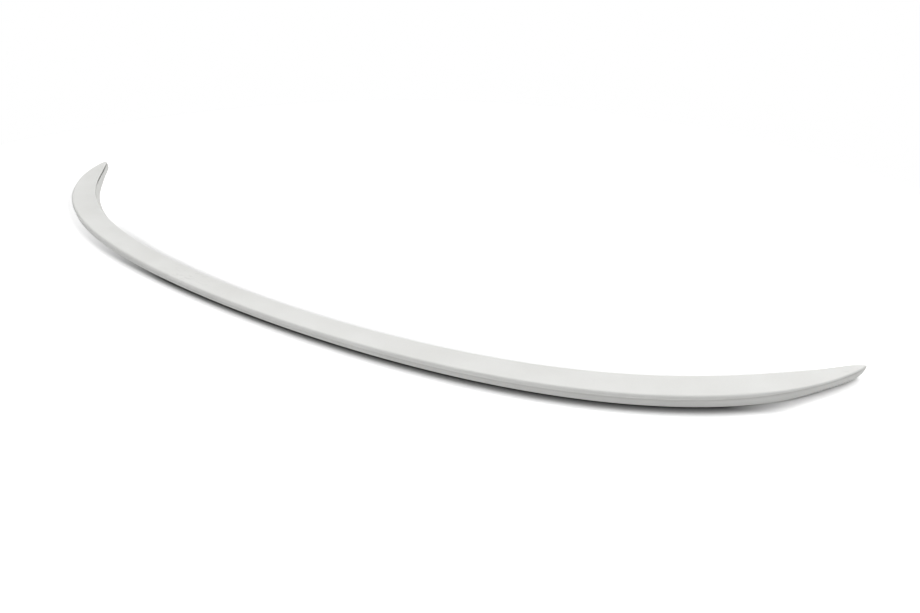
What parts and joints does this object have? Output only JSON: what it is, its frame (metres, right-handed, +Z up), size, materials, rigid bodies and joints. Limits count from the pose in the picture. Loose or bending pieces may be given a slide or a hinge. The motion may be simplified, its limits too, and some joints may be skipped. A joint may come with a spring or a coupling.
{
  "type": "car boot-lid lip spoiler",
  "caption": "Slender bowed lip spoiler for the rear edge of a car boot lid, with a rolled rear rim, a crease below it, pointed tips and an open underside with bonding lands.",
  "frame": {"origin": "centre of the bounding box in plan, on the plane that the foot of the moulding stands on", "axes": "+X across the car along the spoiler's length, +Y towards the front of the car, so the tips point to +Y and the rear rim faces -Y, +Z up"},
  "size_m": [1.2002, 0.222, 0.0127],
  "materials": {
    "moulding": "off-white satin, as moulded and ready for paint"
  },
  "bodies": {
    "root": {"spoiler": "moulding"}
  },
  "joints": []
}
